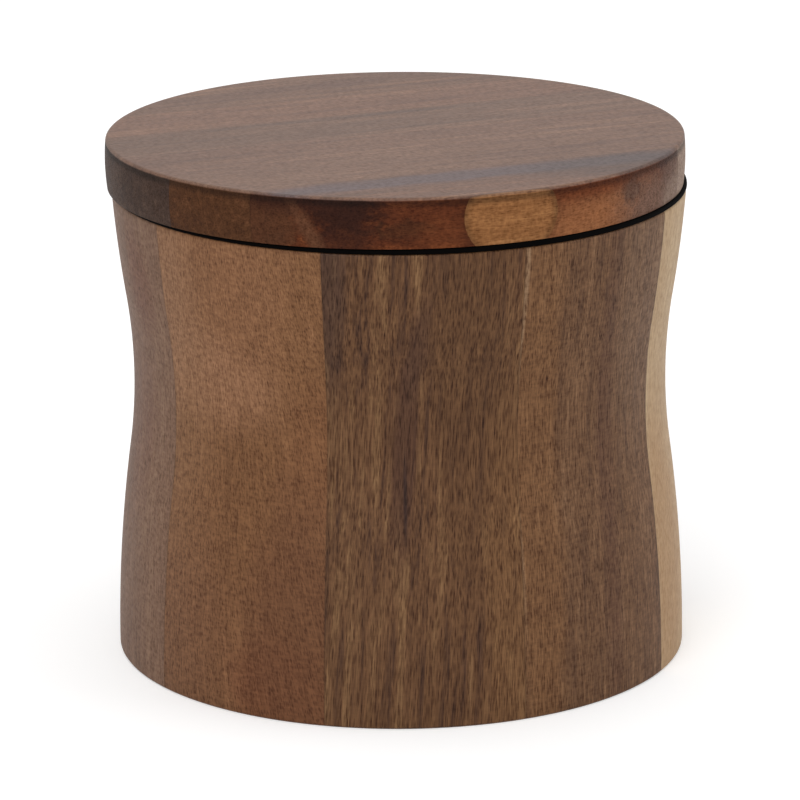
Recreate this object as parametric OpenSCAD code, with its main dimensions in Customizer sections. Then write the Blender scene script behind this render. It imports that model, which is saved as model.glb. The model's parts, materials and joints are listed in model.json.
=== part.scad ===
// Round wooden spice box: a waisted wall of glued staves, a board base and a hinged board lid.
// Millimetres. The origin is the middle of the underside, +Z is up, and the hinge is at +Y
// with its pin along X. The lid is drawn as it rests on its seal, a little short of closed.

/* [Wall] */
// Height of the wall, from the underside to the rim
body_h = 87; // [70:0.1:110]
// Outer radius at the foot
foot_r = 52.6; // [44:0.1:64]
// How far the rim's outer radius is inside the foot's
rim_in = 0.1; // [0:0.1:1.5]
// How far the waist is drawn in from the foot's radius
waist_in = 3.6; // [2:0.1:9]
// Height of the narrowest part of the waist
waist_z = 51.8; // [42:0.1:60]
// Thickness of the wall at the waist
wall = 7; // [5.6:0.1:9]
// Share of the curve between foot and waist that the hollow arc takes
foot_hollow = 0.26; // [0.15:0.01:0.6]
// Share of the curve between waist and rim that the hollow arc takes
rim_hollow = 0.56; // [0.15:0.01:0.8]
// Outward lean at the rim, as a share of the mean lean from waist to rim
rim_lean = 0.75; // [0:0.01:0.9]
// Bevel that eases the wall's sharp edges
wall_ease = 0.5; // [0.2:0.1:1]

/* [Staves] */
// Number of staves in the wall
stave_count = 9; // [6:1:12]
// Turn of the stave joints about the axis, counted from the front towards +X
stave_turn = 2.2; // [-10:0.1:10]

/* [Base] */
// Thickness of the base
base_t = 8; // [5:0.1:12]
// Width of the rebate in the wall that takes the base
rebate_w = 2.5; // [1.5:0.1:4]
// Glue gap round the edge of the base
base_fit = 0.05; // [0.02:0.01:0.2]
// Width of the base's inner boards; the outer two take what is left
base_board_w = 17.8; // [12:0.1:20]

/* [Lid] */
// Thickness of the lid
lid_t = 9.1; // [7.5:0.1:12]
// How far the lid's edge stands outside the rim
lid_over = 0.4; // [0:0.1:1.5]
// How far the lid sits off the wall's axis, along the hinge pin
lid_shift = 0.7; // [0:0.1:1]
// Height of the lid's widest line above its underside
crown_z = 5; // [3:0.1:6]
// Radius of the crown turned on the lid's edge
crown_arc = 40; // [20:1:120]
// Rounding of the lid's top edge
lid_round = 0.6; // [0.4:0.1:2]
// Bevel under the lid's edge
lid_ease = 0.1; // [0.1:0.1:1]
// Depth of the front board's sliver, where the edge just cuts into it
sliver = 0.75; // [0.4:0.05:2]
// Widths of the boards behind the sliver, front to back; the last board takes what is left
board_w = [19, 16.3, 16.9, 16.5, 15.8]; // [14:0.1:20]

/* [Hinge] */
// Width of the leaves, along the pin
leaf_w = 25; // [18:0.5:27]
// Reach of the leaves from the pin into the wood
leaf_reach = 10.7; // [9:0.1:11.5]
// Thickness of the leaves
leaf_t = 1; // [0.8:0.1:1.5]
// Radius of the knuckles
knuckle_r = 2; // [1.6:0.1:2.6]
// Radius of the pin
pin_r = 1; // [0.8:0.1:1.2]
// Length of the row of knuckles
barrel_l = 16; // [12:0.5:17]
// Length of the lid's knuckle, in the middle of the row
mid_knuckle_l = 5.2; // [4:0.1:7]
// How far the stop heels reach behind the pin
heel_out = 1.8; // [1.2:0.1:3]
// Least thickness of a stop heel, at its back edge
heel_edge = 0.9; // [0.6:0.1:2]
// Angle from shut at which the stop heels meet
stop_angle = 105; // [95:1:120]
// Angle from shut at which the lid rests on its seal
rest_angle = 0.56; // [0.4:0.01:1.2]
// Gap between wall and lid along the hinge, when shut
shut_gap = 0.06; // [0.05:0.01:0.3]

/* [Screws] */
// Radius of a screw's shank
screw_r = 0.9; // [0.7:0.1:1.1]
// Radius of a screw's head
screw_head_r = 1.7; // [1.4:0.1:2.1]
// Height of a screw's countersunk head
screw_head_h = 0.8; // [0.5:0.1:0.8]
// Width of the slot in a screw's head
screw_slot_w = 0.4; // [0.3:0.1:0.6]
// Depth of the slot in a screw's head
screw_slot_d = 0.4; // [0.2:0.1:0.5]
// Length of a screw in the wall
body_screw_l = 9; // [6:0.5:14]
// Length of a screw in the lid
lid_screw_l = 6.5; // [4:0.1:6.5]
// Distance from the pin to the row of screws
screw_back = 6.3; // [5:0.1:7]
// Distance between neighbouring screws
screw_pitch = 8.5; // [6:0.1:10]

/* [Seal] */
// How far the seal stands outside the rim
seal_out = 0.1; // [0:0.1:0.6]
// How far the seal's flange starts outside the mouth
seal_in = 1.2; // [0.8:0.1:3]
// How far the tongue's groove starts outside the mouth
groove_in = 1.8; // [1.4:0.1:3]
// Width of the seal's tongue
tongue_w = 1.6; // [1:0.1:2]
// Depth of the seal's tongue below the rim
tongue_d = 2; // [1:0.1:3]
// Air between the seal and the resting lid
seal_air = 0.08; // [0.03:0.01:0.2]

/* [Fits] */
// Gap round a hinge leaf in the wood, and round the seal's tongue in its groove
inlay_fit = 0.05; // [0.02:0.01:0.2]
// Gap between a knuckle and what it turns beside
knuckle_gap = 0.2; // [0.1:0.05:0.4]
// Radial running gap of the pin in the lid's knuckle
pin_run = 0.05; // [0.02:0.01:0.1]
// Radial gap of the pin in the wall's knuckles, and of a screw in its hole
pin_seat = 0.02; // [0.01:0.01:0.05]
// Gap between the wood and the row of knuckles
hinge_off = 0.3; // [0.3:0.05:1]

/* [Hidden] */
$fn = 180;
outline_fn = 720;
small_fn = 48;
crown_steps = 6;
round_steps = 4;
over = 1;

rim_r = foot_r - rim_in;
waist_r = foot_r - waist_in;
cavity_r = waist_r - wall;
stave_angle = 360 / stave_count;
base_r = cavity_r + rebate_w - base_fit;
lid_r = rim_r + lid_over;

hinge_y = lid_r + knuckle_r + hinge_off;
hinge_z = body_h + shut_gap / 2;
leaf_back = knuckle_r + knuckle_gap;
heel_t = heel_out * tan(stop_angle / 2) + heel_edge;
screw_rows = [-1, 0, 1];
groove_r = cavity_r + groove_in;
seal_gap_angle = asin((leaf_w / 2 + knuckle_gap) / (cavity_r + seal_in));

lid_glue = [for (i = [0 : len(board_w)])
    -lid_r + sliver + (i == 0 ? 0 : sum_to(board_w, i - 1))];
lid_board_count = len(lid_glue) + 1;
sliver_turn = 3 * acos((lid_r - sliver) / lid_r);
base_glue = [-1.5, -0.5, 0.5, 1.5] * base_board_w;
base_board_count = len(base_glue) + 1;

stave_colours = [
    [0.56, 0.38, 0.26], [0.38, 0.27, 0.19], [0.45, 0.35, 0.28], [0.76, 0.63, 0.48],
    [0.52, 0.38, 0.27], [0.43, 0.32, 0.24], [0.50, 0.37, 0.27], [0.40, 0.29, 0.21],
    [0.46, 0.38, 0.33]
];
lid_colours = [
    [0.60, 0.42, 0.25], [0.42, 0.27, 0.18], [0.50, 0.38, 0.29], [0.46, 0.36, 0.29],
    [0.49, 0.38, 0.31], [0.52, 0.38, 0.30], [0.44, 0.33, 0.26]
];
base_colours = [
    [0.50, 0.38, 0.28], [0.43, 0.31, 0.22], [0.54, 0.41, 0.30], [0.40, 0.30, 0.22],
    [0.48, 0.36, 0.27]
];
brass = [0.71, 0.55, 0.29];
bright_brass = [0.80, 0.66, 0.38];
seal_black = [0.04, 0.04, 0.045];

// Sum of a list's values from the first to number last
function sum_to(list, last) = list[last] + (last == 0 ? 0 : sum_to(list, last - 1));

// Radii and inflection of the curve from the waist out to an end that is rise away and
// out beyond the waist: a hollow arc at the waist, then a full arc that ends with a lean
function radius_sum(out, rise) = (out * out + rise * rise) / (2 * out);
function full_arc(out, rise, hollow, lean) =
    out * (radius_sum(out, rise) - hollow)
    / (hollow * (1 - cos(lean)) + out * cos(lean) - rise * sin(lean));

// Half of the wall's outline, standing on the waist line and filled to the axis
module outline_half(end_r, rise, hollow_share, lean_share) {
    out = end_r - waist_r;
    hollow = hollow_share * radius_sum(out, rise);
    lean = lean_share * atan(out / rise);
    full = full_arc(out, rise, hollow, lean);
    centre = [end_r - full * cos(lean), rise + full * sin(lean)];
    turn_z = centre.y * hollow / (hollow + full);
    difference() {
        square([end_r + out, turn_z]);
        translate([waist_r + hollow, 0]) circle(hollow, $fn = outline_fn);
    }
    intersection() {
        translate([0, turn_z]) square([end_r + out, rise - turn_z]);
        translate(centre) circle(full, $fn = outline_fn);
    }
}

module wall_outline() {
    translate([0, waist_z]) outline_half(rim_r, body_h - waist_z, rim_hollow, rim_lean);
    translate([0, waist_z]) mirror([0, 1]) outline_half(foot_r, waist_z, foot_hollow, 0);
}

// Cutter for a bevelled edge: a square on its corner
module ease_cut(size) {
    rotate(45) square(size * sqrt(2), center = true);
}

// Section of the wall, with the base's rebate and the seal's groove
module wall_profile() {
    difference() {
        wall_outline();
        translate([0, -over]) square([cavity_r, body_h + 2 * over]);
        translate([0, -over]) square([cavity_r + rebate_w, base_t + over]);
        translate([groove_r - inlay_fit, body_h - tongue_d - inlay_fit])
            square([tongue_w + 2 * inlay_fit, tongue_d + over]);
        translate([foot_r, 0]) ease_cut(wall_ease);
        translate([rim_r, body_h]) ease_cut(wall_ease);
        translate([cavity_r, body_h]) ease_cut(wall_ease);
    }
}

// Points along an arc, in equal steps
function arc_points(centre, r, from, to, steps) = [
    for (k = [0 : steps])
        let (a = from + (to - from) * k / steps) centre + r * [cos(a), sin(a)]
];

// Section of the lid, lying with its underside on the axis of the drawing. Its crown and
// its rounded edge go in short straight steps, which keeps the front sliver's cut clean
module lid_profile() {
    crown_c = [lid_r - crown_arc, crown_z];
    round_rise = lid_t - lid_round - crown_z;
    round_c = crown_c + [sqrt(pow(crown_arc - lid_round, 2) - pow(round_rise, 2)), round_rise];
    meet = asin(round_rise / (crown_arc - lid_round));
    low = -asin((crown_z - lid_ease) / crown_arc);
    crown = arc_points(crown_c, crown_arc, low, meet, crown_steps);
    edge = arc_points(round_c, lid_round, meet, 90, round_steps);
    polygon(concat(
        [[0, lid_t], [0, 0], [crown[0].x - lid_ease, 0]],
        crown,
        [for (k = [1 : round_steps]) edge[k]]
    ));
}

// Turns the shut lid's pieces up to where the lid rests
module at_rest() {
    translate([0, hinge_y, hinge_z]) rotate([-rest_angle, 0, 0])
        translate([0, -hinge_y, -hinge_z]) children();
}

// Places a piece drawn from the pin, facing +Z, on the lid's side or the wall's side
module from_pin(on_lid) {
    translate([0, hinge_y, hinge_z]) mirror([0, 0, on_lid ? 0 : 1])
        translate([0, 0, shut_gap / 2]) children();
}

module screw_places() {
    for (i = screw_rows) translate([i * screw_pitch, -screw_back, 0]) children();
}

// Recess for a leaf, open at the back, with the screws' pilot holes
module leaf_recess(screw_l) {
    recess_w = leaf_w + 2 * inlay_fit;
    translate([-recess_w / 2, -leaf_reach - inlay_fit, -over])
        cube([recess_w, leaf_reach + knuckle_r, leaf_t + over]);
    screw_places() cylinder(r = screw_r + pin_seat, h = screw_l + pin_seat, $fn = small_fn);
}

// A screw with its head's face at the bottom and its point up
module screw(screw_l) {
    difference() {
        union() {
            cylinder(r1 = screw_head_r, r2 = screw_r, h = screw_head_h, $fn = small_fn);
            cylinder(r = screw_r, h = screw_l - screw_r, $fn = small_fn);
            translate([0, 0, screw_l - screw_r])
                cylinder(r1 = screw_r, r2 = screw_r / 4, h = screw_r, $fn = small_fn);
        }
        translate([-screw_head_r - over, -screw_slot_w / 2, -over])
            cube([2 * (screw_head_r + over), screw_slot_w, screw_slot_d + over]);
    }
}

// Length of barrel along the pin, from x = from to x = to
module barrel(from, to, r) {
    translate([from, 0, -shut_gap / 2]) rotate([0, 90, 0])
        cylinder(r = r, h = to - from, $fn = small_fn);
}

// Stop heel: a block behind the pin, bevelled so that the two heels meet at the stop
module stop_heel(from, to) {
    translate([from, 0, 0]) rotate([90, 0, 90]) linear_extrude(to - from)
        polygon([
            [-leaf_back, 0],
            [shut_gap / 2 / tan(stop_angle / 2), 0],
            [heel_out, heel_out * tan(stop_angle / 2) - shut_gap / 2],
            [heel_out, heel_t],
            [-leaf_back, heel_t]
        ]);
}

// A leaf drawn from the pin: plate, heels and the knuckles whose spans are listed
module leaf(spans, pin_gap) {
    difference() {
        union() {
            translate([-leaf_w / 2, -leaf_reach, 0])
                cube([leaf_w, leaf_reach - leaf_back, leaf_t]);
            for (span = spans) {
                barrel(span[0], span[1], knuckle_r);
                translate([span[0], -leaf_back, 0])
                    cube([span[1] - span[0], leaf_back, leaf_t]);
            }
            for (side = [0, 1]) mirror([side, 0, 0])
                stop_heel(barrel_l / 2 + knuckle_gap, leaf_w / 2);
        }
        barrel(-leaf_w / 2 - over, leaf_w / 2 + over, pin_r + pin_gap);
        screw_places() {
            translate([0, 0, -pin_seat])
                cylinder(r1 = screw_head_r + 2 * pin_seat, r2 = screw_r + pin_seat,
                    h = screw_head_h + pin_seat, $fn = small_fn);
            cylinder(r = screw_r + pin_seat, h = leaf_t + over, $fn = small_fn);
        }
    }
}

module stave(i) {
    color(stave_colours[(i - 1) % len(stave_colours)]) difference() {
        rotate(stave_turn - 90 + (i - 3) * stave_angle)
            rotate_extrude(angle = stave_angle) wall_profile();
        from_pin(false) leaf_recess(body_screw_l);
    }
}

// Slab between two glue lines, for cutting a board out of a disc
module between(y_from, y_to, r, h) {
    translate([-r, y_from, -over]) cube([2 * r, y_to - y_from, h + 2 * over]);
}

module base_board(i) {
    color(base_colours[(i - 1) % len(base_colours)]) intersection() {
        cylinder(r = base_r, h = base_t);
        between(i == 1 ? -foot_r : base_glue[i - 2],
            i == base_board_count ? foot_r : base_glue[i - 1], foot_r, base_t);
    }
}

// The lid in one piece, or as much of its front as the given turn takes in
module lid_blank(turn) {
    rotate(-90 - turn / 2) rotate_extrude(angle = turn, $fn = outline_fn) lid_profile();
}

module lid_board(i) {
    far = lid_r + over;
    color(lid_colours[(i - 1) % len(lid_colours)]) at_rest() difference() {
        translate([-lid_shift, 0, body_h + shut_gap]) intersection() {
            lid_blank(i == 1 ? sliver_turn : 360);
            between(i == 1 ? -far : lid_glue[i - 2],
                i == lid_board_count ? far : lid_glue[i - 1], far, lid_t);
        }
        from_pin(true) leaf_recess(lid_screw_l);
    }
}

module seal_ring() {
    flange_in = cavity_r + seal_in;
    flange_out = rim_r + seal_out;
    color(seal_black) difference() {
        rotate(90 + seal_gap_angle)
            rotate_extrude(angle = 360 - 2 * seal_gap_angle) translate([0, body_h]) polygon([
                [flange_in, 0], [groove_r, 0],
                [groove_r, -tongue_d], [groove_r + tongue_w, -tongue_d],
                [groove_r + tongue_w, 0], [flange_out, 0],
                [flange_out, lid_t], [flange_in, lid_t]
            ]);
        at_rest() translate([-foot_r - over, -foot_r - over, body_h + shut_gap - seal_air])
            cube([2 * (foot_r + over), 2 * (foot_r + over), 2 * lid_t]);
    }
}

module hinge_body_leaf() {
    color(brass) from_pin(false) leaf([
        [-barrel_l / 2, -mid_knuckle_l / 2 - knuckle_gap],
        [mid_knuckle_l / 2 + knuckle_gap, barrel_l / 2]
    ], pin_seat);
}

module hinge_lid_leaf() {
    color(brass) at_rest() from_pin(true)
        leaf([[-mid_knuckle_l / 2, mid_knuckle_l / 2]], pin_run);
}

module hinge_pin() {
    color(bright_brass) translate([-barrel_l / 2 - over, hinge_y, hinge_z]) rotate([0, 90, 0])
        cylinder(r = pin_r, h = barrel_l + 2 * over, $fn = small_fn);
}

module body_screws() {
    color(bright_brass) from_pin(false) screw_places() screw(body_screw_l);
}

module lid_screws() {
    color(bright_brass) at_rest() from_pin(true) screw_places() screw(lid_screw_l);
}

for (i = [1 : stave_count])
    stave(i);
for (i = [1 : base_board_count])
    base_board(i);
for (i = [1 : lid_board_count])
    lid_board(i);
seal_ring();
hinge_body_leaf();
hinge_lid_leaf();
hinge_pin();
body_screws();
lid_screws();
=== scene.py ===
"""Looks of a round wooden spice box: waisted stave wall, board lid, black seal and brass hinge."""
import json
import math

import bmesh
import bpy
from mathutils import Matrix, Vector


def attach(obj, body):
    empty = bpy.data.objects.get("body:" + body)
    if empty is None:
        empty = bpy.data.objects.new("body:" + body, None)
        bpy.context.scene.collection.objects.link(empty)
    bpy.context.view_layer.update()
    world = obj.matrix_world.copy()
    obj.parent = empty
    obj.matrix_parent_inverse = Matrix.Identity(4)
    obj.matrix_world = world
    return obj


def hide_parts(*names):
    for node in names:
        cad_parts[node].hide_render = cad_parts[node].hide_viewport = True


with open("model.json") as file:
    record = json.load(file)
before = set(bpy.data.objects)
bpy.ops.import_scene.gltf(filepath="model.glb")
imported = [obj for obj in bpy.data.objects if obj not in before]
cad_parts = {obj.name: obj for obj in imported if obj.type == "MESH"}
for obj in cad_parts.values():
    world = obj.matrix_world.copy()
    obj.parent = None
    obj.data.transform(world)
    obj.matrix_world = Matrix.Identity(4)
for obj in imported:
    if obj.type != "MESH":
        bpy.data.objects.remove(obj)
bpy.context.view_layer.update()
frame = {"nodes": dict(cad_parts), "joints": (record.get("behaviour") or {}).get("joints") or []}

MM = 0.001

# Camera, as it stood for the photograph
VIEW_AZIMUTH = math.radians(-22.7)
VIEW_ELEVATION = math.radians(16.36)
VIEW_DISTANCE = 0.9298
VIEW_ROLL = math.radians(0.294)
VIEW_CENTRE = Vector((0, 0, 0.0434))
VIEW_RISE = 0.00217
LENS_MM = 225.9
SENSOR_MM = 36

# Light: each lamp's name, place, what it faces, width and height, and power
AMBIENT = 0.45
FLOOR_HALF = 3.0
FLOOR_GLOW = 0.25
LAMPS = [
    ("Key", (-0.9, -1.1, 0.9), (0, 0, 0.05), (1.2, 1.2), 12.5),
    ("Fill", (1.3, -0.8, 0.6), (0, 0, 0.05), (1.2, 1.0), 6),
    ("Top", (0, 0.2, 1.4), (0, 0, 0.09), (1.6, 1.6), 11),
]

# Wall
FOOT_R = 52.6 * MM
RIM_R = 52.5 * MM
WAIST_R = 49.0 * MM
WAIST_Z = 51.8 * MM
BODY_H = 87 * MM
CAVITY_R = 42.0 * MM
FOOT_HOLLOW = 0.26
RIM_HOLLOW = 0.56
RIM_LEAN = 0.75
WALL_EASE = 0.5 * MM
BASE_T = 8 * MM
REBATE_W = 2.5 * MM
GROOVE_R = CAVITY_R + 1.75 * MM
GROOVE_W = 1.7 * MM
GROOVE_D = 2.05 * MM
STAVE_COUNT = 9
STAVE_SWEEP = 2 * math.pi / STAVE_COUNT
STAVE_TURN = math.radians(2.2)

# Lid, drawn shut and then turned up about the hinge to where it rests
LID_R = 52.9 * MM
LID_T = 9.1 * MM
LID_SHIFT = 0.7 * MM
LID_Z = BODY_H + 0.06 * MM
CROWN_Z = 5 * MM
CROWN_ARC = 40 * MM
LID_ROUND = 0.6 * MM
LID_EASE = 0.1 * MM
LID_FLAT = 0.4 * MM
LID_GLUE = [-52.15 * MM, -33.15 * MM, -16.85 * MM, 0.05 * MM, 16.55 * MM, 32.35 * MM]
REST_ANGLE = math.radians(0.56)
HINGE = Vector(frame["joints"][0]["pos_m"])

# Seal
SEAL_IN = CAVITY_R + 1.2 * MM
SEAL_OUT = RIM_R + 0.1 * MM
SEAL_TONGUE_R = CAVITY_R + 1.8 * MM
SEAL_TONGUE_W = 1.6 * MM
SEAL_TONGUE_D = 2 * MM
SEAL_AIR = 0.08 * MM
SEAL_ROUND = 0.3 * MM
SEAL_GAP_ANGLE = math.asin(12.7 * MM / SEAL_IN)

# Hinge, from its pin
LEAF_W = 25 * MM
LEAF_REACH = 10.7 * MM
LEAF_T = 1 * MM
LEAF_PAST_PIN = 2 * MM
INLAY_FIT = 0.05 * MM
PIN_R = 1 * MM
PIN_L = 18 * MM
PIN_ROUND = 0.3 * MM
SCREW_R = 0.9 * MM
SCREW_TIP_R = 0.225 * MM
SCREW_HEAD_R = 1.7 * MM
SCREW_HEAD_H = 0.8 * MM
SCREW_EDGE_W = 0.1 * MM
SCREW_EDGE_H = 0.06 * MM
SCREW_SLOT_W = 0.4 * MM
SCREW_SLOT_D = 0.4 * MM
BODY_SCREW_L = 9 * MM
LID_SCREW_L = 6.5 * MM
SCREW_BACK = 6.3 * MM
SCREW_PITCH = 8.5 * MM
SCREW_COUNT = 3
SCREW_FIT = 0.02 * MM

# Steps that curves are drawn in
OUTLINE_STEPS = 16
EDGE_STEPS = 4
CROWN_STEPS = 8
LID_ROUND_STEPS = 6
LID_EASE_STEPS = 3
STAVE_STEPS = 41
LID_STEPS = 360
SEAL_STEPS = 320
PIN_STEPS = 48
SCREW_STEPS = 32

# Wood: cells of its patterns across, through and along the grain, in millimetres
BROAD_CELL = (14, 9, 90)
BAND_CELL = (1.7, 2.2, 50)
LINE_CELL = (0.4, 0.4, 8)
FIGURE_CELL = (1.6, 1.2, 0.6)

# Where an open pore ends, from its middle, and the share of the wood that pores take
PORE_EDGE = (0.25, 0.55)
PORE_SHARE = 0.35

# Height in millimetres about which slanting grain turns
SLANT_MIDDLE = 45

# How much further green and blue fall than red where the wood darkens
WARM_SHADE = (1.0, 1.18, 1.32)

# Glue lines: where one fades, in millimetres from its middle, and how dark it is
GLUE_FADE = (0.02, 0.25)
STAVE_GLUE_SHADE = 0.25
LID_GLUE_SHADE = 0.15
LID_FRONT_GLUE_SHADE = 0.35

# Lid: heights in millimetres above its underside, and where its rim begins from its middle
LID_SHADE_BELOW = (7.0, 8.1)
LID_SHADE_ABOVE = (8.4, 8.7)
LID_SHADE = 0.5
LID_TOP_FROM = (8.5, 8.8)
LID_RIM_FROM = (47, 51)
LID_RIM_POLISH = 0.04
LID_TOP_POLISH = 0.45

# Rubber and brass, each from its darker to its paler colour
RUBBER = (0.0012, 0.0010, 0.0010, 1), (0.0022, 0.0018, 0.0017, 1)
LEAF_BRASS = (0.42, 0.26, 0.09, 1), (0.60, 0.41, 0.16, 1)
PIN_BRASS = (0.46, 0.30, 0.11, 1), (0.62, 0.43, 0.18, 1)
SCREW_BRASS = (0.46, 0.30, 0.11, 1), (0.64, 0.45, 0.19, 1)

# How far a cutter stands out of the face that it cuts
OVER = 1 * MM

# Faces that turn by more than this meet in a sharp edge
SHARP = math.radians(28)

# Packed faces that turn by less than this are one face, and points nearer than this one point
ONE_FACE = math.radians(0.5)
ONE_POINT = 0.001 * MM


def colour(red, green, blue):
    """A colour written as it looks on screen, from 0 to 255, as the shader's linear one."""
    linear = [(c / 255 / 12.92) if c < 10.3 else ((c / 255 + 0.055) / 1.055) ** 2.4
              for c in (red, green, blue)]
    return (*linear, 1.0)


class Sock:
    """A node's output. Arithmetic on it adds Math nodes."""

    def __init__(self, nodes, link):
        self.nodes = nodes
        self.link = link

    def __add__(self, other):
        return self.nodes.math("ADD", self, other)

    def __sub__(self, other):
        return self.nodes.math("SUBTRACT", self, other)

    def __mul__(self, other):
        return self.nodes.math("MULTIPLY", self, other)

    def __rsub__(self, other):
        return self.nodes.math("SUBTRACT", other, self)

    __radd__ = __add__
    __rmul__ = __mul__


class Nodes:
    """A node tree that is filled by calls."""

    def __init__(self, tree):
        self.tree = tree

    def node(self, kind, settings=None, sockets=None):
        """Adds a node, with its settings first and then its sockets' values or links."""
        made = self.tree.nodes.new(kind)
        for key, value in (settings or {}).items():
            setattr(made, key, value)
        for key, value in (sockets or {}).items():
            if isinstance(value, Sock):
                self.tree.links.new(value.link, made.inputs[key])
            else:
                made.inputs[key].default_value = value
        return made

    def get(self, kind, settings=None, sockets=None, output=0):
        """Adds a node and gives one of its outputs."""
        return Sock(self, self.node(kind, settings, sockets).outputs[output])

    def math(self, operation, a, b=0.0):
        """One sum on one or two numbers."""
        return self.get("ShaderNodeMath", {"operation": operation}, {0: a, 1: b})

    def vector(self, x, y, z):
        """A vector of three numbers."""
        return self.get("ShaderNodeCombineXYZ", None, {0: x, 1: y, 2: z})

    def parts(self, vector):
        """The three numbers of a vector."""
        made = self.node("ShaderNodeSeparateXYZ", None, {0: vector})
        return [Sock(self, output) for output in made.outputs]


class Shade(Nodes):
    """A material's nodes, with the words that its finishes are written in."""

    def __init__(self, name):
        self.material = bpy.data.materials.new(name)
        self.material.use_nodes = True
        super().__init__(self.material.node_tree)
        self.tree.nodes.clear()

    def place(self, turn=(0, 0, 0), move=(0, 0, 0)):
        """Object coordinates in millimetres, turned and then moved."""
        here = self.get("ShaderNodeTexCoord", None, None, "Object")
        return self.get("ShaderNodeMapping", {"vector_type": "POINT"}, {
            "Vector": here, "Location": move, "Rotation": turn, "Scale": (1 / MM,) * 3})

    def cells(self, where, size, seed):
        """Places counted in cells of the given size in millimetres, at a spot of their own."""
        return self.get("ShaderNodeMapping", {"vector_type": "POINT"}, {
            "Vector": where, "Location": (seed, seed * 0.37, 0), "Scale": [1 / s for s in size]})

    def noise(self, where, size, seed, detail=2.0, rough=0.5):
        """Noise from 0 to 1 in cells of the given size."""
        return self.get("ShaderNodeTexNoise", {"noise_dimensions": "3D", "normalize": True}, {
            "Vector": self.cells(where, size, seed), "Scale": 1.0, "Detail": detail,
            "Roughness": rough})

    def pores(self, where, size, seed):
        """1 inside the open pores, which are drops scattered one to a cell of the given size."""
        away = self.get("ShaderNodeTexVoronoi", {"voronoi_dimensions": "3D", "feature": "F1"}, {
            "Vector": self.cells(where, size, seed), "Scale": 1.0, "Randomness": 1.0}, "Distance")
        return 1 - self.between(away, *PORE_EDGE)

    def between(self, value, low, high):
        """0 below low, 1 above high and smooth between them."""
        return self.get("ShaderNodeMapRange", {"interpolation_type": "SMOOTHSTEP", "clamp": True}, {
            "Value": value, "From Min": low, "From Max": high})

    def mix(self, fraction, a, b, blend="MIX"):
        """Two colours mixed, or multiplied where blend says so."""
        made = self.node("ShaderNodeMix", {
            "data_type": "RGBA", "blend_type": blend, "clamp_factor": True},
            {0: fraction, 6: a, 7: b})
        return Sock(self, made.outputs[2])

    def patch(self, across, along, wander, at, size, lean=0.0, soft=0.5, ragged=0.6):
        """A soft oval on the wood: 1 inside it and 0 outside, with an edge that wanders."""
        rise = along - at[1]
        side = (across - at[0] - rise * lean) * (1 / size[0])
        reach = self.get("ShaderNodeVectorMath", {"operation": "LENGTH"}, {
            0: self.vector(side, rise * (1 / size[1]), 0.0)}, "Value")
        edge = reach + (wander - 0.5) * ragged
        return 1 - self.between(edge, 1 - soft, 1 + soft)

    def finish(self, color, roughness, bump, bump_depth, **values):
        """Ends the material with its shader. In the names of values _ stands for a space."""
        relief = self.get("ShaderNodeBump", None, {
            "Strength": 1.0, "Distance": bump_depth, "Height": bump})
        sockets = {"Base Color": color, "Roughness": roughness, "Normal": relief}
        for key, value in values.items():
            sockets[key.replace("_", " ")] = value
        shader = self.get("ShaderNodeBsdfPrincipled", None, sockets)
        self.node("ShaderNodeOutputMaterial", None, {"Surface": shader})
        return self.material


def spot(across, along, half_w, half_l, **more):
    """Where a patch of colour lies and how far it reaches, in millimetres."""
    return {"at": (across, along), "size": (half_w, half_l), **more}


def stain_and_painted_light_masks(shade, across, along, wander, patches, within=1.0):
    """Masks and tints of the listed colour changes: stains, and in a few places painted sheen and
    painted light.
    """
    return [(shade.patch(across, along, wander, **where) * within * strength, tint)
            for tint, strength, where in patches]


def oiled_wood(shade, across, depth, along, seed, tones, stains_and_painted_light, edge=None, polish=0.2,
               streak=0.5, drift=0.3, fleck=0.2, line=0.8, pore=0.45, pore_size=(0.32, 2.0),
               slant=(0.0, 0.0)):
    """Oiled open-pored wood, as a solid pattern in the directions of the board's grain.

    Streak, drift, fleck, line and pore say how strong each pattern is, and edge darkens
    the board along its glue lines.
    """
    slanted = across + (along - SLANT_MIDDLE) * (across * slant[1] + slant[0])
    grain = shade.vector(slanted, depth, along)
    broad = shade.noise(grain, BROAD_CELL, seed, 2.0, 0.5)
    bands = shade.noise(grain, BAND_CELL, seed + 3.1, 4.0, 0.7)
    lines = shade.noise(grain, LINE_CELL, seed + 7.7, 2.0, 0.8)
    figure = shade.noise(grain, FIGURE_CELL, seed + 17.3, 2.0, 0.6)
    width, length = pore_size
    open_pores = shade.pores(grain, (width, width, length), seed + 11.9)

    tone = (broad - 0.5) * (2 * drift) + (bands - 0.5) * (2 * streak) + 0.5
    dark, middle, pale = tones
    base = shade.mix(shade.between(tone, 0.1, 0.5), dark, middle)
    base = shade.mix(shade.between(tone, 0.5, 0.9), base, pale)
    for mask, tint in stains_and_painted_light:
        base = shade.mix(mask, base, tint)
    soft = (lines - 0.5) * (2 * line) + (figure - 0.5) * (2 * fleck)
    warm = shade.get("ShaderNodeVectorMath", {"operation": "MULTIPLY_ADD"}, {
        0: soft - (open_pores - PORE_SHARE) * pore, 1: WARM_SHADE, 2: (1, 1, 1)})
    base = shade.mix(1.0, base, warm, "MULTIPLY")
    if edge is not None:
        base = shade.mix(1.0, base, edge, "MULTIPLY")
    rough = 0.55 + (bands - 0.5) * 0.2 + open_pores * 0.15
    height = lines * 0.4 - open_pores
    return shade.finish(base, rough, height, bump_depth=0.02 * MM, Specular_IOR_Level=0.05,
                        Coat_Weight=polish, Coat_Roughness=0.45)


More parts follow.
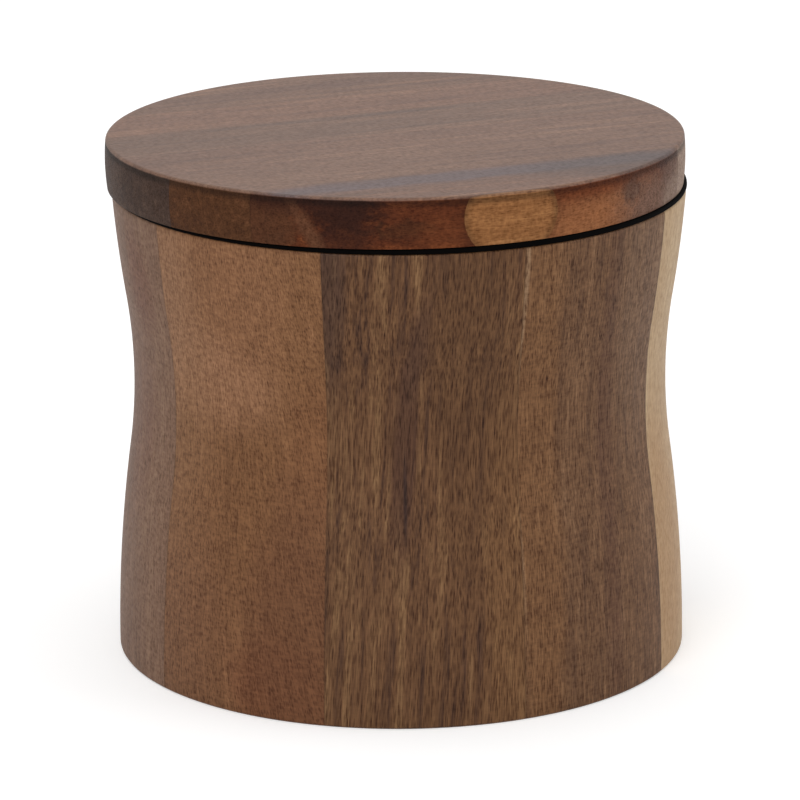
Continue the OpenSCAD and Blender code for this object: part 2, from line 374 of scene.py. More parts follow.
# Each stave's wood, counted as in the CAD model, with patches across and up from its foot
STAVES = [
    dict(tones=(colour(92, 60, 36), colour(107, 72, 45), colour(124, 86, 57)),
         streak=0.5, drift=0.4, fleck=0.5, line=0.6, pore=0.35, pore_size=(0.28, 1.1),
         slant=(0.1, 0.006), patches=[
             (colour(122, 84, 57), 0.8, spot(-10, 88, 22, 33, soft=0.3)),
             (colour(138, 99, 72), 0.6, spot(-9, 61, 14, 8, lean=-0.5, soft=0.6)),
             (colour(136, 99, 74), 0.5, spot(-17, 77, 7, 14)),
             # This paler band down the stave's left edge is painted light from the left and painted
             # sheen where the wall turns away.
             (colour(122, 88, 61), 0.5, spot(-17, 50, 9, 90, soft=0.8)),
             (colour(110, 72, 45), 0.5, spot(15, 50, 5, 13)),
             (colour(98, 54, 32), 0.6, spot(9, 6, 9, 9)),
             (colour(92, 58, 37), 0.7, spot(12, 16, 9, 26)),
             (colour(96, 62, 42), 0.5, spot(-12, 10, 12, 22, soft=0.8)),
         ]),
    dict(tones=(colour(62, 39, 26), colour(88, 59, 37), colour(108, 78, 51)),
         streak=1.1, drift=0.25, fleck=0.25, line=1.05, pore=0.5, pore_size=(0.3, 3.0),
         slant=(-0.05, 0.0), patches=[
             (colour(64, 43, 32), 0.8, spot(-16.6, 84, 2.6, 22, soft=0.6)),
             (colour(66, 41, 28), 0.85, spot(-3.6, 50, 2.2, 18, lean=0.04, soft=0.6)),
             (colour(68, 44, 31), 0.8, spot(-1.2, 69, 1.8, 9, lean=0.16, soft=0.6)),
             (colour(40, 24, 20), 0.8, spot(-3.4, 42, 0.35, 7, soft=0.6, ragged=0.3)),
             (colour(80, 53, 32), 0.6, spot(8, 66, 7, 34)),
             (colour(104, 72, 44), 0.5, spot(15, 20, 4, 40)),
         ]),
    dict(tones=(colour(80, 54, 36), colour(95, 66, 44), colour(112, 82, 58)),
         streak=1.0, drift=0.35, fleck=0.5, line=0.9, pore=0.4, pore_size=(0.3, 1.8), patches=[
             (colour(106, 72, 44), 0.6, spot(-14, 45, 5, 60, soft=0.3)),
             (colour(80, 52, 36), 0.6, spot(2.5, 40, 2.2, 60, soft=0.7)),
             (colour(108, 82, 62), 0.5, spot(12, 76, 8, 30)),
             (colour(134, 106, 80), 0.6, spot(-17.4, 66, 0.45, 40, soft=0.5, ragged=0.3)),
         ]),
    dict(tones=(colour(151, 122, 90), colour(167, 139, 106), colour(182, 157, 125)),
         streak=0.4, drift=0.4, fleck=0.16, line=0.3, pore=0.2, patches=[
             (colour(156, 120, 84), 0.6, spot(-12, 22, 9, 26)),
         ]),
    dict(tones=(colour(86, 56, 34), colour(110, 76, 49), colour(132, 95, 66)),
         streak=0.6, patches=[]),
    dict(tones=(colour(62, 40, 25), colour(86, 58, 36), colour(110, 78, 52)),
         streak=0.9, line=1.0, pore_size=(0.34, 3.0), patches=[
             (colour(56, 34, 22), 0.7, spot(5, 50, 3, 50, lean=-0.05, soft=0.6)),
         ]),
    dict(tones=(colour(90, 61, 39), colour(114, 80, 54), colour(136, 101, 73)),
         streak=0.6, fleck=0.3, patches=[]),
    dict(tones=(colour(70, 46, 28), colour(94, 63, 39), colour(118, 82, 55)),
         streak=0.9, slant=(0.06, 0.0), patches=[
             (colour(124, 86, 57), 0.6, spot(-10, 30, 6, 50)),
         ]),
    dict(tones=(colour(90, 65, 49), colour(109, 81, 63), colour(126, 98, 77)),
         streak=0.5, drift=0.4, fleck=0.45, line=0.6, pore=0.3, pore_size=(0.28, 1.1), patches=[
             (colour(94, 56, 40), 0.5, spot(8, 74, 5, 9)),
             (colour(98, 64, 48), 0.4, spot(2, 46, 8, 16)),
         ]),
]


def stave_wood(i):
    """Finish of a stave: its grain runs up the wall, and across counts to the right of its middle."""
    shade = Shade(f"Stave {i + 1} wood")
    turn = -(STAVE_TURN + (i - 1.5) * STAVE_SWEEP)
    across, depth, along = shade.parts(shade.place((0, 0, turn)))
    half = STAVE_SWEEP / 2
    beside = shade.math("ABSOLUTE", across) * math.cos(half) + depth * math.sin(half)
    line, clear = GLUE_FADE
    edge = 1 - shade.between(beside, -clear, -line) * STAVE_GLUE_SHADE
    seed = i * 13.7
    wander = shade.noise(shade.vector(across, depth, along), (3, 3, 10), seed + 23.9, 3.0, 0.65)
    look = dict(STAVES[i])
    stains_and_painted_light = stain_and_painted_light_masks(shade, across, along, wander, look.pop("patches"))
    return oiled_wood(shade, across, depth, along, seed, look.pop("tones"), stains_and_painted_light, edge, **look)


# Each lid board's wood from front to back, on top and on its rim. Patches lie along and
# across the lid's top from its middle, or along and up its rim.
LID_BOARDS = [
    dict(top=(colour(97, 64, 42), colour(120, 84, 56), colour(140, 101, 70)),
         rim=(colour(112, 72, 40), colour(128, 85, 50), colour(142, 98, 60))),
    dict(top=(colour(78, 54, 40), colour(98, 68, 52), colour(118, 85, 64)),
         rim=(colour(54, 25, 12), colour(78, 38, 19), colour(108, 58, 30)),
         on_top=[
             (colour(80, 66, 67), 0.8, spot(0, -37.5, 60, 3.4, soft=0.5, ragged=1.2)),
             (colour(62, 48, 44), 0.6, spot(30, -40, 20, 8)),
         ],
         on_rim=[
             (colour(72, 43, 26), 0.9, spot(-42, 4, 7, 12, soft=0.2)),
             (colour(34, 15, 9), 0.9, spot(-28.5, 8, 6, 5.5, ragged=1.4)),
             (colour(46, 22, 14), 0.7, spot(-28, 2, 4, 5, ragged=1.4)),
             (colour(48, 23, 14), 0.8, spot(-36, 9, 9, 3)),
             (colour(84, 52, 34), 0.9, spot(-33.2, 2.5, 1.2, 5, lean=-0.46)),
             (colour(44, 28, 15), 0.45, spot(-19, 3.5, 4.5, 1.6, lean=0.8, ragged=2.0)),
             (colour(110, 60, 32), 0.3, spot(-12, 2.5, 4, 3, ragged=1.4)),
             (colour(132, 84, 52), 0.9, spot(21, 1, 17, 6, soft=0.6)),
             (colour(92, 44, 20), 0.8, spot(17, 9.4, 14, 3)),
             (colour(54, 34, 24), 0.7, spot(26, 5.5, 2.4, 2.2, ragged=1.4)),
             # The three greyish patches below are painted sheen, paler toward the right end of the rim,
             # and it goes on across the next board's rim.
             (colour(96, 74, 64), 0.8, spot(36, -1, 11, 8, lean=-0.6)),
             (colour(124, 102, 88), 0.85, spot(40, 1, 4.5, 7)),
             (colour(78, 54, 46), 0.6, spot(37.5, 8, 3.5, 4)),
         ]),
    dict(top=(colour(82, 55, 42), colour(101, 72, 55), colour(118, 89, 71)),
         rim=(colour(58, 33, 18), colour(71, 43, 24), colour(86, 54, 33)),
         # This pale grey patch is painted sheen at the right end of the rim, where the rim turns away
         # most.
         on_rim=[(colour(142, 120, 105), 0.9, spot(46, 4, 20, 20))]),
    dict(top=(colour(78, 53, 40), colour(98, 69, 53), colour(115, 85, 66)),
         rim=(colour(48, 34, 28), colour(60, 44, 36), colour(74, 56, 46))),
    dict(top=(colour(75, 53, 41), colour(92, 66, 51), colour(112, 83, 66)),
         rim=(colour(52, 38, 32), colour(64, 48, 40), colour(78, 60, 50))),
    dict(top=(colour(85, 56, 41), colour(102, 71, 54), colour(119, 87, 67)),
         rim=(colour(60, 40, 30), colour(76, 52, 38), colour(92, 66, 48))),
    dict(top=(colour(79, 52, 39), colour(96, 68, 52), colour(116, 85, 66)),
         rim=(colour(56, 38, 28), colour(72, 50, 36), colour(88, 64, 48))),
]


def lid_directions(shade):
    """Directions of the lid's boards, turned back to shut: along the grain, across it, and up."""
    back = Matrix.Rotation(REST_ANGLE, 3, "X")
    move = HINGE - back @ HINGE - Vector((-LID_SHIFT, 0, LID_Z))
    return shade.parts(shade.place((REST_ANGLE, 0, 0), move / MM))


def lid_wood(i):
    """Finish of a lid board: its grain runs along the hinge pin, and its rim is darker end grain."""
    shade = Shade(f"Lid board {i + 1} wood")
    along, across, up = lid_directions(shade)
    glue_shade = LID_FRONT_GLUE_SHADE if i == 0 else LID_GLUE_SHADE
    near_top = shade.between(up, *LID_SHADE_BELOW) * (1 - shade.between(up, *LID_SHADE_ABOVE))
    edge = 1 - near_top * LID_SHADE
    for line in LID_GLUE[max(i - 1, 0):i + 1]:
        near = shade.math("ABSOLUTE", across - line / MM)
        edge = (1 - (1 - shade.between(near, *GLUE_FADE)) * glue_shade) * edge
    board = LID_BOARDS[i]
    on_top = shade.between(up, *LID_TOP_FROM)
    tones = [shade.mix(on_top, low, high) for low, high in zip(board["rim"], board["top"])]
    seed = 101 + i * 9.3
    where = shade.vector(across, up, along)
    wander = shade.noise(where, (2, 2, 8), seed + 23.9, 3.0, 0.65)
    stains_and_painted_light = stain_and_painted_light_masks(shade, along, across, wander, board.get("on_top", ()), on_top)
    speckle = shade.noise(where, (1.2, 1.2, 1.6), seed + 31.9, 3.0, 0.65)
    radius = shade.get("ShaderNodeVectorMath", {"operation": "LENGTH"}, {
        0: shade.vector(along, across, 0.0)}, "Value")
    at_rim = shade.between(radius, *LID_RIM_FROM) * (1 - on_top)
    stains_and_painted_light += stain_and_painted_light_masks(shade, along, up, speckle, board.get("on_rim", ()), at_rim)
    polish = on_top * LID_TOP_POLISH + LID_RIM_POLISH
    return oiled_wood(shade, across, up, along, seed, tones, stains_and_painted_light, edge, polish,
                      streak=0.9, fleck=0.5, line=0.5, pore=0.25, pore_size=(0.3, 1.2))


# Each base board's middle tone
BASE_BOARDS = [(112, 78, 52), (90, 61, 40), (120, 86, 58), (84, 57, 38), (106, 75, 50)]


def base_wood(i):
    """Finish of a base board: its grain runs along the hinge pin."""
    shade = Shade(f"Base board {i + 1} wood")
    along, across, depth = shade.parts(shade.place())
    tones = [colour(*[c * k for c in BASE_BOARDS[i]]) for k in (0.8, 1.0, 1.16)]
    return oiled_wood(shade, across, depth, along, 211 + i * 5.9, tones, ())


def seal_rubber():
    """Matte black rubber with a fine grain."""
    shade = Shade("Black rubber")
    where = shade.place()
    fine = shade.noise(where, (0.3, 0.3, 0.3), 1.7, 2.0, 0.6)
    wide = shade.noise(where, (9, 9, 4), 5.3)
    rough = 0.7 + (fine - 0.5) * 0.2
    return shade.finish(shade.mix(wide, *RUBBER), rough, fine, bump_depth=0.01 * MM,
                        Specular_IOR_Level=0.015)


def brushed_brass(name, colours, seed):
    """Satin brass, brushed along the pin, with faint darker handling marks."""
    shade = Shade(name)
    where = shade.place()
    brush = shade.noise(where, (6, 0.08, 0.08), seed, 3.0, 0.7)
    marks = shade.noise(where, (3, 3, 3), seed + 4.1, 3.0, 0.6)
    base = shade.mix(marks, *colours)
    base = shade.mix(1.0, base, 0.92 + brush * 0.16, "MULTIPLY")
    rough = 0.4 + (brush - 0.5) * 0.15 + (0.5 - marks) * 0.1
    return shade.finish(base, rough, brush, bump_depth=0.002 * MM, Metallic=1.0)


def arc_points(centre, radius, start, end, steps):
    """Points along an arc, from one angle to another."""
    turns = [start + (end - start) * k / steps for k in range(steps + 1)]
    return [(centre[0] + radius * math.cos(a), centre[1] + radius * math.sin(a)) for a in turns]


def half_outline(end_r, rise, hollow_share, lean_share):
    """Radius and height of the wall's outline, from the waist line to one end."""
    out = end_r - WAIST_R
    both = (out * out + rise * rise) / (2 * out)
    hollow = hollow_share * both
    lean = lean_share * math.atan(out / rise)
    full = out * (both - hollow) / (
        hollow * (1 - math.cos(lean)) + out * math.cos(lean) - rise * math.sin(lean))
    centre = (end_r - full * math.cos(lean), rise + full * math.sin(lean))
    turn = math.atan2(centre[1], hollow + WAIST_R - centre[0])
    low = arc_points((WAIST_R + hollow, 0), hollow, math.pi, math.pi - turn, OUTLINE_STEPS)
    high = arc_points(centre, full, -turn, -lean, OUTLINE_STEPS)
    return low + high[1:]


def wall_section():
    """Closed section of the wall: outside, rim with the seal's groove, inside, base rebate."""
    upper = half_outline(RIM_R, BODY_H - WAIST_Z, RIM_HOLLOW, RIM_LEAN)
    lower = half_outline(FOOT_R, WAIST_Z, FOOT_HOLLOW, 0)
    outside = [(r, WAIST_Z - z) for r, z in reversed(lower)]
    outside += [(r, WAIST_Z + z) for r, z in upper[1:]]
    outside = [(r, z) for r, z in outside if WALL_EASE < z < BODY_H - WALL_EASE]
    ease = WALL_EASE
    rim_z = BODY_H - ease
    foot_edge = arc_points((outside[0][0] - ease, ease), ease, -math.pi / 2, 0, EDGE_STEPS)
    rim_edge = arc_points((outside[-1][0] - ease, rim_z), ease, 0, math.pi / 2, EDGE_STEPS)
    mouth_edge = arc_points((CAVITY_R + ease, rim_z), ease, math.pi / 2, math.pi, EDGE_STEPS)
    groove_z = BODY_H - GROOVE_D
    return foot_edge + outside + rim_edge + [
        (GROOVE_R + GROOVE_W, BODY_H), (GROOVE_R + GROOVE_W, groove_z),
        (GROOVE_R, groove_z), (GROOVE_R, BODY_H),
    ] + mouth_edge + [
        (CAVITY_R, BASE_T), (CAVITY_R + REBATE_W, BASE_T), (CAVITY_R + REBATE_W, 0),
    ]


def lid_section():
    """Section of the lid's edge, from the underside to the top."""
    crown_c = (LID_R - CROWN_ARC, CROWN_Z)
    rise = LID_T - LID_ROUND - CROWN_Z
    round_c = (crown_c[0] + math.sqrt((CROWN_ARC - LID_ROUND) ** 2 - rise ** 2), CROWN_Z + rise)
    meet = math.asin(rise / (CROWN_ARC - LID_ROUND))
    low = -math.asin((CROWN_Z - LID_EASE) / CROWN_ARC)
    crown = arc_points(crown_c, CROWN_ARC, low, meet, CROWN_STEPS)
    edge = arc_points(round_c, LID_ROUND, meet, math.pi / 2, LID_ROUND_STEPS)
    ease_c = (crown[0][0] - LID_EASE, LID_EASE)
    under = arc_points(ease_c, LID_EASE, -math.pi / 2, low, LID_EASE_STEPS)
    return ([(under[0][0] - LID_FLAT, 0)] + under + crown[1:] + edge[1:]
            + [(edge[-1][0] - LID_FLAT, LID_T)])


def rest_turn():
    """Turn of the shut lid up to where it rests."""
    return Matrix.Translation(HINGE) @ Matrix.Rotation(-REST_ANGLE, 4, "X") @ Matrix.Translation(-HINGE)


def mesh_from(name, shape):
    """A mesh from a bmesh, which is used up."""
    mesh = bpy.data.meshes.new(name)
    shape.to_mesh(mesh)
    shape.free()
    return mesh


def placed(name, data):
    """A new object in the scene, at the origin."""
    made = bpy.data.objects.new(name, data)
    bpy.context.scene.collection.objects.link(made)
    return made


def skin(shape, rings):
    """Faces from each closed ring of points to the next, and one over each end."""
    for low, high in zip(rings, rings[1:]):
        for k in range(len(low)):
            after = (k + 1) % len(low)
            shape.faces.new((low[k], low[after], high[after], high[k]))
    shape.faces.new(list(reversed(rings[0])))
    shape.faces.new(rings[-1])


def piece_from(name, shape, material, body, node):
    """Finishes a bmesh as a piece: smooth faces, sharp edges, material and body, with its CAD node
    hidden.
    """
    bmesh.ops.recalc_face_normals(shape, faces=shape.faces)
    if shape.calc_volume(signed=True) < 0:
        bmesh.ops.reverse_faces(shape, faces=shape.faces)
    mesh = mesh_from(name, shape)
    packed_normals = mesh.attributes.get("custom_normal")
    if packed_normals:
        mesh.attributes.remove(packed_normals)
    for face in mesh.polygons:
        face.use_smooth = True
    mesh.set_sharp_from_angle(angle=SHARP)
    mesh.materials.clear()
    mesh.materials.append(material)
    made = placed(name, mesh)
    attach(made, body)
    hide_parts(node)


def turned_disc(section, steps):
    """A disc turned from its edge section, with one flat face on top and one below."""
    shape = bmesh.new()
    rings = []
    for r, z in section:
        rings.append([shape.verts.new((r * math.cos(a), r * math.sin(a), z))
                      for a in (2 * math.pi * k / steps for k in range(steps))])
    skin(shape, rings)
    return shape


def keep_side(shape, point, normal):
    """Cuts a closed shape at a plane, drops what the normal points to and closes the cut."""
    everything = shape.verts[:] + shape.edges[:] + shape.faces[:]
    cut = bmesh.ops.bisect_plane(shape, geom=everything, plane_co=point, plane_no=normal,
                                 clear_outer=True)
    edges = [e for e in cut["geom_cut"] if isinstance(e, bmesh.types.BMEdge)]
    bmesh.ops.contextual_create(shape, geom=edges)


def worked(carrier):
    """What an object's modifier makes of its mesh, as a bmesh. The object is cleared away."""
    bpy.context.view_layer.update()
    result = bpy.data.meshes.new_from_object(
        carrier.evaluated_get(bpy.context.evaluated_depsgraph_get()))
    carrier.modifiers.clear()
    bpy.data.objects.remove(carrier)
    shape = bmesh.new()
    shape.from_mesh(result)
    bpy.data.meshes.remove(result)
    return shape


def leaf_cutter(screw_l, up):
    """What a leaf and its screws take out of the wood, drawn from the pin's height."""
    cutter = bmesh.new()
    width = LEAF_W + 2 * INLAY_FIT
    depth = LEAF_T + OVER
    length = LEAF_REACH + INLAY_FIT + LEAF_PAST_PIN
    box = Matrix.Translation((0, length / 2 - LEAF_REACH - INLAY_FIT, depth / 2 - OVER))
    bmesh.ops.create_cube(cutter, size=1, matrix=box @ Matrix.Diagonal((width, length, depth, 1)))
    for k in range(SCREW_COUNT):
        x = (k - (SCREW_COUNT - 1) / 2) * SCREW_PITCH
        hole_l = screw_l + SCREW_FIT - LEAF_T / 2
        at = Matrix.Translation((x, -SCREW_BACK, LEAF_T / 2 + hole_l / 2))
        bmesh.ops.create_cone(cutter, cap_ends=True, segments=SCREW_STEPS,
                              radius1=SCREW_R + SCREW_FIT, radius2=SCREW_R + SCREW_FIT,
                              depth=hole_l, matrix=at)
    if not up:
        bmesh.ops.scale(cutter, vec=(1, 1, -1), verts=cutter.verts)
        bmesh.ops.reverse_faces(cutter, faces=cutter.faces)
    height = LID_Z if up else BODY_H
    bmesh.ops.translate(cutter, vec=(0, HINGE.y, height), verts=cutter.verts)
    if up:
        bmesh.ops.transform(cutter, matrix=rest_turn(), verts=cutter.verts)
    return cutter


def cut_out(shape, cutter):
    """Takes a cutter out of a shape."""
    tool = placed("Cutter", mesh_from("Cutter", cutter))
    carrier = placed("Blank", mesh_from("Blank", shape))
    cut = carrier.modifiers.new("Cut", "BOOLEAN")
    cut.operation = "DIFFERENCE"
    cut.solver = "EXACT"
    cut.use_self = True
    cut.object = tool
    made = worked(carrier)
    bpy.data.objects.remove(tool)
    return made


def geometry_tree(name, output, inputs):
    """A new geometry tree with named inputs: the nodes to build with, and its inputs."""
    tree = bpy.data.node_groups.new(name, "GeometryNodeTree")
    for label, kind in inputs.items():
        tree.interface.new_socket(label, in_out="INPUT", socket_type=f"NodeSocket{kind}")
    tree.interface.new_socket(output, in_out="OUTPUT", socket_type="NodeSocketGeometry")
    build = Nodes(tree)
    given = build.node("NodeGroupInput")
    return build, [Sock(build, socket) for socket in given.outputs[:len(inputs)]]


def end_tree(build, output, shape, material):
    """Ends a geometry tree: real geometry, with its material."""
    real = build.get("GeometryNodeRealizeInstances", None, {"Geometry": shape})
    made = build.get("GeometryNodeSetMaterial", None, {"Geometry": real, "Material": material})
    build.node("NodeGroupOutput", None, {output: made})
    return build.tree


def wall_tree():
    """Turns a section through an angle: a straight bar along the angle, bent round the axis."""
    build, (section, start, sweep, steps, timber) = geometry_tree("Turned stave", "Stave", {
        "Section": "Geometry", "Start angle": "Float", "Sweep angle": "Float",
        "Steps": "Int", "Wood": "Material"})
    outline = build.get("GeometryNodeMeshToCurve", None, {"Mesh": section})
    line = build.get("GeometryNodeMeshLine", {"mode": "END_POINTS", "count_mode": "TOTAL"}, {
        "Count": steps, "Start Location": build.vector(0.0, start, 0.0),
        "Offset": build.vector(0.0, start + sweep, 0.0)})
    rail = build.get("GeometryNodeMeshToCurve", None, {"Mesh": line})
    bar = build.get("GeometryNodeCurveToMesh", None,
                    {"Curve": rail, "Profile Curve": outline, "Fill Caps": True})
    radius, angle, height = build.parts(build.get("GeometryNodeInputPosition"))
    x = radius * build.math("COSINE", angle)
    y = radius * build.math("SINE", angle)
    turned = build.get("GeometryNodeSetPosition", None,
                       {"Geometry": bar, "Position": build.vector(x, y, height)})
    return end_tree(build, "Stave", turned, timber)


def screw_tree():
    """A row of slotted screws: one blank, its slot cut, repeated along the row."""
    build, given = geometry_tree("Row of screws", "Screws", {
        "Blank": "Geometry", "Count": "Int", "Pitch": "Float", "Slot width": "Float",
        "Slot depth": "Float", "Head width": "Float", "Metal": "Material"})
    blank, count, pitch, slot_w, slot_d, head_w, metal = given
    cutter = build.get("GeometryNodeMeshCube", None,
                       {"Size": build.vector(head_w * 1.2, slot_w, slot_d * 2)})
    cut = build.get("GeometryNodeMeshBoolean", {"operation": "DIFFERENCE", "solver": "EXACT"},
                    {"Mesh 1": blank, "Mesh 2": cutter})
    half = (count - 1) * pitch * 0.5
    row = build.get("GeometryNodeMeshLine", {"mode": "OFFSET"}, {
        "Count": count, "Start Location": build.vector(0.0 - half, 0.0, 0.0),
        "Offset": build.vector(pitch, 0.0, 0.0)})
    screws = build.get("GeometryNodeInstanceOnPoints", None, {"Points": row, "Instance": cut})
    return end_tree(build, "Screws", screws, metal)


def grown(source, tree, inputs):
    """Runs a geometry tree on a mesh and gives the result as a bmesh."""
    carrier = placed("Source", source)
    modifier = carrier.modifiers.new("Shape", "NODES")
    modifier.node_group = tree
    for item in tree.interface.items_tree:
        if item.in_out == "INPUT" and item.name in inputs:
            modifier[item.identifier] = inputs[item.name]
    return worked(carrier)


def make_staves():
    """The wall's staves, turned from one section. The back one takes the hinge."""
    tree = wall_tree()
    section = [(r, -z, 0) for r, z in wall_section()]
    edges = [(k, (k + 1) % len(section)) for k in range(len(section))]
    back_stave = STAVE_COUNT // 2 + 2
    for i in range(STAVE_COUNT):
        outline = bpy.data.meshes.new("Wall section")
        outline.from_pydata(section, edges, [])
        start = STAVE_TURN - math.pi / 2 + (i - 2) * STAVE_SWEEP
        timber = stave_wood(i)
        shape = grown(outline, tree, {
            "Start angle": start, "Sweep angle": STAVE_SWEEP, "Steps": STAVE_STEPS,
            "Wood": timber})
        if i == back_stave:
            shape = cut_out(shape, leaf_cutter(BODY_SCREW_L, False))
        piece_from(f"stave_{i + 1}_turned", shape, timber, "box_body", f"stave_{i + 1}")


def make_lid():
    """The lid's boards: one turned disc, cut at the glue lines. The back one takes the hinge."""
    section = lid_section()
    last = len(LID_GLUE)
    for i in range(last + 1):
        shape = turned_disc(section, LID_STEPS)
        if i > 0:
            keep_side(shape, (0, LID_GLUE[i - 1], 0), (0, -1, 0))
        if i < last:
            keep_side(shape, (0, LID_GLUE[i], 0), (0, 1, 0))
        bmesh.ops.translate(shape, verts=shape.verts, vec=(-LID_SHIFT, 0, LID_Z))
        bmesh.ops.transform(shape, matrix=rest_turn(), verts=shape.verts)
        if i == last:
            shape = cut_out(shape, leaf_cutter(LID_SCREW_L, True))
        piece_from(f"lid_board_{i + 1}_turned", shape, lid_wood(i), "lid", f"lid_board_{i + 1}")


def seal_ring_section(top):
    """Section of the seal where the lid rests at the given height above the rim."""
    edge = min(SEAL_ROUND, top * 0.45)
    inner = SEAL_IN + edge
    outer = SEAL_OUT - edge
    low_in = arc_points((inner, edge), edge, math.pi, 1.5 * math.pi, EDGE_STEPS)
    low_out = arc_points((outer, edge), edge, -math.pi / 2, 0, EDGE_STEPS)
    high_out = arc_points((outer, top - edge), edge, 0, math.pi / 2, EDGE_STEPS)
    high_in = arc_points((inner, top - edge), edge, math.pi / 2, math.pi, EDGE_STEPS)
    tongue_out = SEAL_TONGUE_R + SEAL_TONGUE_W
    tongue = [(SEAL_TONGUE_R, 0), (SEAL_TONGUE_R, -SEAL_TONGUE_D),
              (tongue_out, -SEAL_TONGUE_D), (tongue_out, 0)]
    return low_in + tongue + low_out + high_out + high_in


def make_seal():
    """The seal, swept round the rim from one side of the hinge to the other."""
    sweep = 2 * math.pi - 2 * SEAL_GAP_ANGLE
    lean = math.tan(REST_ANGLE)
    shape = bmesh.new()
    rings = []
    for k in range(SEAL_STEPS + 1):
        angle = math.pi / 2 + SEAL_GAP_ANGLE + sweep * k / SEAL_STEPS
        middle_y = (SEAL_IN + SEAL_OUT) / 2 * math.sin(angle)
        mean_top = LID_Z - BODY_H - SEAL_AIR + (HINGE.y - middle_y) * lean
        ring = []
        for r, z in seal_ring_section(mean_top):
            y = r * math.sin(angle)
            share = max(z, 0) / mean_top
            ring.append(shape.verts.new((r * math.cos(angle), y,
                                         BODY_H + z + share * (middle_y - y) * lean)))
        rings.append(ring)
    skin(shape, rings)
    piece_from("seal_ring_moulded", shape, seal_rubber(), "box_body", "seal_ring")


def make_leaves():
    """The hinge's leaves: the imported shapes, with the loose triangles of a flat made one face."""
    metal = brushed_brass("Hinge brass", LEAF_BRASS, 2.3)
    for node, body in (("hinge_body_leaf", "box_body"), ("hinge_lid_leaf", "lid")):
        shape = bmesh.new()
        shape.from_mesh(frame["nodes"][node].data)
        bmesh.ops.remove_doubles(shape, verts=shape.verts, dist=ONE_POINT)
        bmesh.ops.dissolve_limit(shape, angle_limit=ONE_FACE, verts=shape.verts, edges=shape.edges)
        piece_from(f"{node}_filed", shape, metal, body, node)


def make_pin():
    """The hinge's pin, with rounded ends."""
    end_r = PIN_R - PIN_ROUND
    section = arc_points((end_r, PIN_ROUND), PIN_ROUND, -math.pi / 2, 0, EDGE_STEPS)
    section += arc_points((end_r, PIN_L - PIN_ROUND), PIN_ROUND, 0, math.pi / 2, EDGE_STEPS)
    shape = turned_disc(section, PIN_STEPS)
    bmesh.ops.transform(shape, verts=shape.verts, matrix=(
        Matrix.Translation((-PIN_L / 2, HINGE.y, HINGE.z)) @ Matrix.Rotation(math.pi / 2, 4, "Y")))
    metal = brushed_brass("Pin brass", PIN_BRASS, 6.1)
    piece_from("hinge_pin_turned", shape, metal, "box_body", "hinge_pin")


def make_screws():
    """Both rows of screws, heads flush with their leaves and tips in the wood."""
    tree = screw_tree()
    metal = brushed_brass("Screw brass", SCREW_BRASS, 9.7)
    for node, body, length, on_lid in (("body_screws", "box_body", BODY_SCREW_L, False),
                                       ("lid_screws", "lid", LID_SCREW_L, True)):
        blank = turned_disc([
            (SCREW_HEAD_R - SCREW_EDGE_W, 0), (SCREW_HEAD_R, SCREW_EDGE_H),
            (SCREW_R, SCREW_HEAD_H), (SCREW_R, length - SCREW_R), (SCREW_TIP_R, length),
        ], SCREW_STEPS)
        shape = grown(mesh_from("Screw blank", blank), tree, {
            "Count": SCREW_COUNT, "Pitch": SCREW_PITCH, "Slot width": SCREW_SLOT_W,
            "Slot depth": SCREW_SLOT_D, "Head width": 2 * SCREW_HEAD_R, "Metal": metal})
        if not on_lid:
            bmesh.ops.scale(shape, vec=(1, 1, -1), verts=shape.verts)
        height = LID_Z if on_lid else BODY_H
        place = Matrix.Translation((0, HINGE.y - SCREW_BACK, height))
        if on_lid:
            place = rest_turn() @ place
        bmesh.ops.transform(shape, verts=shape.verts, matrix=place)
        piece_from(f"{node}_slotted", shape, metal, body, node)


def make_base():
    """The base keeps its packed boards and gets their wood."""
    for i in range(len(BASE_BOARDS)):
        board = frame["nodes"][f"base_board_{i + 1}"]
        board.data.materials.clear()
        board.data.materials.append(base_wood(i))


def make_camera():
    """The camera, where it stood for the photograph."""
    camera = placed("Camera", bpy.data.cameras.new("Camera"))
    back = Vector((math.sin(VIEW_AZIMUTH) * math.cos(VIEW_ELEVATION),
                   -math.cos(VIEW_AZIMUTH) * math.cos(VIEW_ELEVATION), math.sin(VIEW_ELEVATION)))
    camera.location = VIEW_CENTRE + back * VIEW_DISTANCE
    level = (-back).to_track_quat("-Z", "Y")
    aim = VIEW_CENTRE + level @ Vector((0, VIEW_RISE, 0))
    facing = (aim - camera.location).to_track_quat("-Z", "Y").to_matrix().to_4x4()
    camera.matrix_world = (Matrix.Translation(camera.location) @ facing
                           @ Matrix.Rotation(-VIEW_ROLL, 4, "Z"))
    camera.data.sensor_width = SENSOR_MM
    camera.data.lens = LENS_MM
    bpy.context.scene.camera = camera


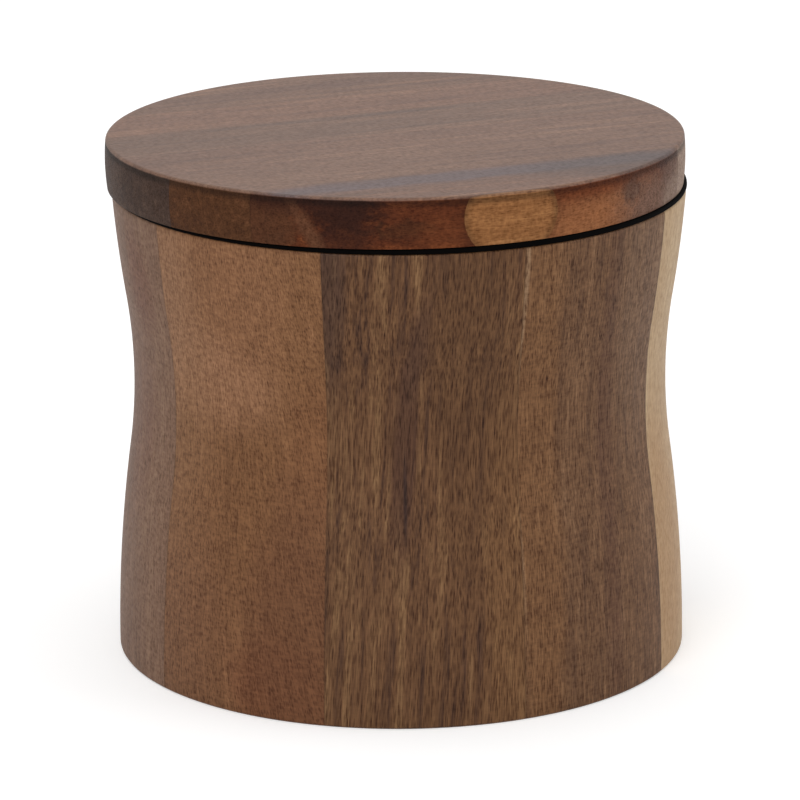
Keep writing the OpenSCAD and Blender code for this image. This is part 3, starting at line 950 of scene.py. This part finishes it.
def make_lamp(name, place, target, size, power):
    """A soft rectangular lamp that faces its target."""
    lamp = bpy.data.lights.new(name, "AREA")
    lamp.shape = "RECTANGLE"
    lamp.size, lamp.size_y = size
    lamp.energy = power
    made = placed(name, lamp)
    made.location = place
    made.rotation_euler = (Vector(target) - Vector(place)).to_track_quat("-Z", "Y").to_euler()


def seen_directly(nodes):
    """1 for what the camera, a mirror or glass sees, and 0 for what lights the object."""
    path = nodes.node("ShaderNodeLightPath")
    camera, glossy, through = [Sock(nodes, path.outputs[k]) for k in (
        "Is Camera Ray", "Is Glossy Ray", "Is Transmission Ray")]
    return nodes.math("MAXIMUM", nodes.math("MAXIMUM", camera, glossy), through)


def make_studio():
    """Plain pale surroundings, a plain pale floor and three soft lamps."""
    world = bpy.data.worlds.new("Studio")
    bpy.context.scene.world = world
    world.use_nodes = True
    world.node_tree.nodes.clear()
    nodes = Nodes(world.node_tree)
    seen = seen_directly(nodes)
    strength = seen * (1 - AMBIENT) + AMBIENT
    sky = nodes.get("ShaderNodeBackground", None, {"Color": (1, 1, 1, 1), "Strength": strength})
    nodes.node("ShaderNodeOutputWorld", None, {"Surface": sky})

    floor_mesh = bpy.data.meshes.new("Floor")
    corners = [(x * FLOOR_HALF, y * FLOOR_HALF, 0) for x, y in ((-1, -1), (1, -1), (1, 1), (-1, 1))]
    floor_mesh.from_pydata(corners, [], [(0, 1, 2, 3)])
    floor = placed("Floor", floor_mesh)
    shade = Shade("Pale floor")
    seen = seen_directly(shade)
    matt = shade.get("ShaderNodeBsdfDiffuse", None, {"Color": (0.86, 0.86, 0.86, 1)})
    glow = shade.get("ShaderNodeEmission", None, {
        "Color": (1, 1, 1, 1), "Strength": seen * FLOOR_GLOW})
    both = shade.get("ShaderNodeAddShader", None, {0: matt, 1: glow})
    shade.node("ShaderNodeOutputMaterial", None, {"Surface": both})
    floor_mesh.materials.append(shade.material)

    for lamp in LAMPS:
        make_lamp(*lamp)


make_camera()
make_studio()
make_staves()
make_base()
make_lid()
make_seal()
make_leaves()
make_pin()
make_screws()

bpy.context.scene.view_settings.view_transform = "Standard"
